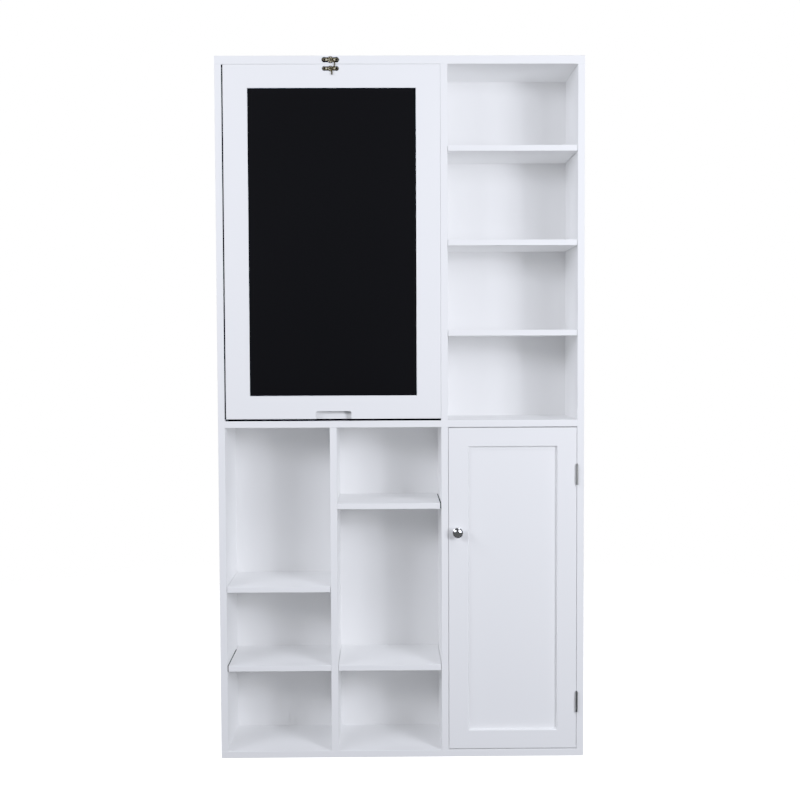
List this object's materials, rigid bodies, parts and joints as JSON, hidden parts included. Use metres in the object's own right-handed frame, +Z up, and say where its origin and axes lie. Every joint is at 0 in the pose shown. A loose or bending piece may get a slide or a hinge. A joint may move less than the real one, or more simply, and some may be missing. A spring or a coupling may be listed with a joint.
{
  "type": "fold-down wall desk",
  "caption": "Tall white storage tower with a fold-down desk whose framed chalkboard front swings down as the leg, with open shelves and a small cupboard.",
  "frame": {"origin": "centre of the base panel's underside, on the floor", "axes": "+Z up, +Y to the rear (the wall), front towards -Y, +X to the right seen from the front"},
  "size_m": [0.8, 0.205, 1.5335],
  "materials": {
    "white_lacquered_board": "white satin lacquer on fibreboard",
    "white_hardboard": "white painted hardboard",
    "chalkboard_black": "matt black chalkboard paint on hardboard",
    "beech_dowel": "plain fluted beech",
    "zinc_plated_steel": "bright zinc plate",
    "blackened_steel": "black oxide",
    "nickel_plated_steel": "satin nickel plate",
    "chrome_plate": "polished chrome",
    "antique_nickel": "antiqued nickel",
    "white_plastic": "moulded",
    "grey_rubber": "moulded"
  },
  "bodies": {
    "carcass": {"back_panel_nails": "zinc_plated_steel", "base_panel": "white_lacquered_board", "cam_fittings": "zinc_plated_steel", "carcass_hardware_screws": "zinc_plated_steel", "case_screws": "zinc_plated_steel", "cupboard_shelves": "white_lacquered_board", "desk_cubby_shelves": "white_lacquered_board", "desk_hinge_fixed_leaf": "blackened_steel", "desk_hinge_pin": "blackened_steel", "display_shelf_1": "white_lacquered_board", "display_shelf_2": "white_lacquered_board", "display_shelf_3": "white_lacquered_board", "door_hinge_fixed_leaves": "nickel_plated_steel", "door_hinge_pins": "nickel_plated_steel", "dowels": "beech_dowel", "flap_stops": "grey_rubber", "latch_keeper_plate": "antique_nickel", "left_bay_shelf_1": "white_lacquered_board", "left_bay_shelf_2": "white_lacquered_board", "lower_back_panel": "white_hardboard", "lower_left_divider": "white_lacquered_board", "lower_left_side": "white_lacquered_board", "lower_right_divider": "white_lacquered_board", "lower_right_side": "white_lacquered_board", "magnetic_catch": "white_plastic", "mid_panel": "white_lacquered_board", "middle_bay_shelf_1": "white_lacquered_board", "middle_bay_shelf_2": "white_lacquered_board", "shelf_pins": "zinc_plated_steel", "top_panel": "white_lacquered_board", "upper_back_panel": "white_hardboard", "upper_divider": "white_lacquered_board", "upper_left_side": "white_lacquered_board", "upper_right_side": "white_lacquered_board", "wall_fixing_rail": "white_lacquered_board"},
    "desk_leaf": {"desk_top": "white_lacquered_board", "desk_hinge_moving_leaf": "blackened_steel", "leg_hinge_desk_leaves": "nickel_plated_steel", "leg_hinge_pins": "nickel_plated_steel", "desk_hardware_screws": "zinc_plated_steel"},
    "leg_frame": {"leg_left_stile": "white_lacquered_board", "leg_right_stile": "white_lacquered_board", "leg_top_rail": "white_lacquered_board", "leg_bottom_rail": "white_lacquered_board", "chalkboard": "chalkboard_black", "leg_hinge_leg_leaves": "nickel_plated_steel", "leg_hardware_screws": "zinc_plated_steel", "latch_hook_plate": "antique_nickel", "latch_rivet": "antique_nickel"},
    "latch_hook": {"latch_hook": "antique_nickel"},
    "cupboard_door": {"door_left_stile": "white_lacquered_board", "door_right_stile": "white_lacquered_board", "door_top_rail": "white_lacquered_board", "door_bottom_rail": "white_lacquered_board", "door_panel": "white_lacquered_board", "door_knob": "chrome_plate", "door_hinge_moving_leaves": "nickel_plated_steel", "door_hardware_screws": "zinc_plated_steel", "strike_plate": "zinc_plated_steel"}
  },
  "joints": [
    {"name": "desk_fold", "type": "hinge", "parent": "carcass", "child": "desk_leaf", "pos_m": [-0.14775, -0.088, 0.7474], "axis": [1, 0, 0], "range_deg": [0, 90]},
    {"name": "leg_fold", "type": "hinge", "parent": "desk_leaf", "child": "leg_frame", "pos_m": [-0.14775, -0.07475, 1.50995], "axis": [1, 0, 0], "range_deg": [-90, 0]},
    {"name": "latch_swing", "type": "hinge", "parent": "leg_frame", "child": "latch_hook", "pos_m": [-0.14975, -0.0923, 1.50575], "axis": [0, 1, 0], "range_deg": [0, 80]},
    {"name": "cupboard_door_swing", "type": "hinge", "parent": "carcass", "child": "cupboard_door", "pos_m": [0.3844, -0.093, 0.37275], "axis": [0, 0, 1], "range_deg": [0, 170]}
  ],
  "couplings": [
    {"joint": "leg_fold", "follows": "desk_fold", "ratio": -1}
  ]
}
